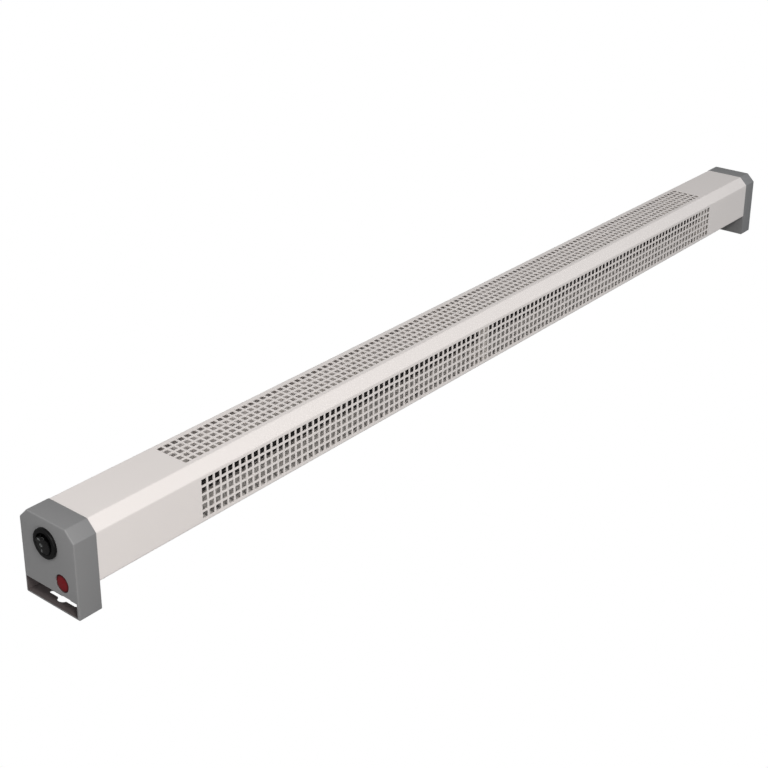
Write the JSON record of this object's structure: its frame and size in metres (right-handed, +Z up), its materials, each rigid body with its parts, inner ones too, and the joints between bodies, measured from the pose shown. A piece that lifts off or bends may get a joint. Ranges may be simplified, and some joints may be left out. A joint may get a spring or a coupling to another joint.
{
  "type": "convector heater",
  "caption": "Long, low convector heater: a perforated folded-steel casing between moulded end caps that are its feet, with a round rocker switch and a pilot lamp in one end.",
  "frame": {"origin": "on the floor, midway between the round middles of the two feet's fixing slots", "axes": "+X along the heater away from the switch end, +Y from the grilled front to the plain back, +Z up"},
  "size_m": [1.0047, 0.057, 0.0685],
  "materials": {
    "casing": "satin warm white powder coat",
    "galvanised": "galvanised sheet",
    "cap": "fine matt mid grey moulding",
    "switch": "satin black",
    "rocker": "satin black with white marks",
    "lens": "dark red translucent",
    "bulb": "clear",
    "nylon": "natural",
    "bush": "heat-proof white",
    "bakelite": "dark brown",
    "fins": "black anodised",
    "rod": "heat-dulled",
    "tinned": "tinned",
    "zinc": "zinc plated",
    "brass": "plain",
    "grommet": "matt black",
    "live": "brown insulation",
    "neutral": "blue insulation",
    "earth": "green insulation"
  },
  "bodies": {
    "heater": {"casing": "casing", "base_panel": "galvanised", "near_end_cap": "cap", "far_end_cap": "cap", "switch_body": "switch", "switch_terminals": "tinned", "pilot_lens": "lens", "pilot_holder": "nylon", "neon_bulb": "bulb", "pilot_terminals": "tinned", "near_partition": "galvanised", "far_partition": "galvanised", "middle_bracket": "galvanised", "front_element_fins": "fins", "rear_element_fins": "fins", "front_element_rod": "rod", "rear_element_rod": "rod", "element_pins": "tinned", "element_bushes": "bush", "thermal_cutout": "bakelite", "cutout_terminals": "tinned", "cutout_screws": "zinc", "terminal_block": "nylon", "terminal_inserts": "brass", "clamping_screws": "brass", "block_screw": "zinc", "earth_stud": "brass", "earth_nuts": "brass", "earth_tag": "tinned", "cable_grommet": "grommet", "live_wires": "live", "neutral_wires": "neutral", "earth_wire": "earth", "base_screws": "zinc", "cap_screws": "zinc", "bracket_rivets": "zinc"},
    "rocker": {"rocker": "rocker"}
  },
  "joints": [
    {"name": "rocker_tilt", "type": "hinge", "parent": "heater", "child": "rocker", "pos_m": [-0.4975, 0.001, 0.05], "axis": [0, 1, 0], "range_deg": [0, 20]}
  ]
}
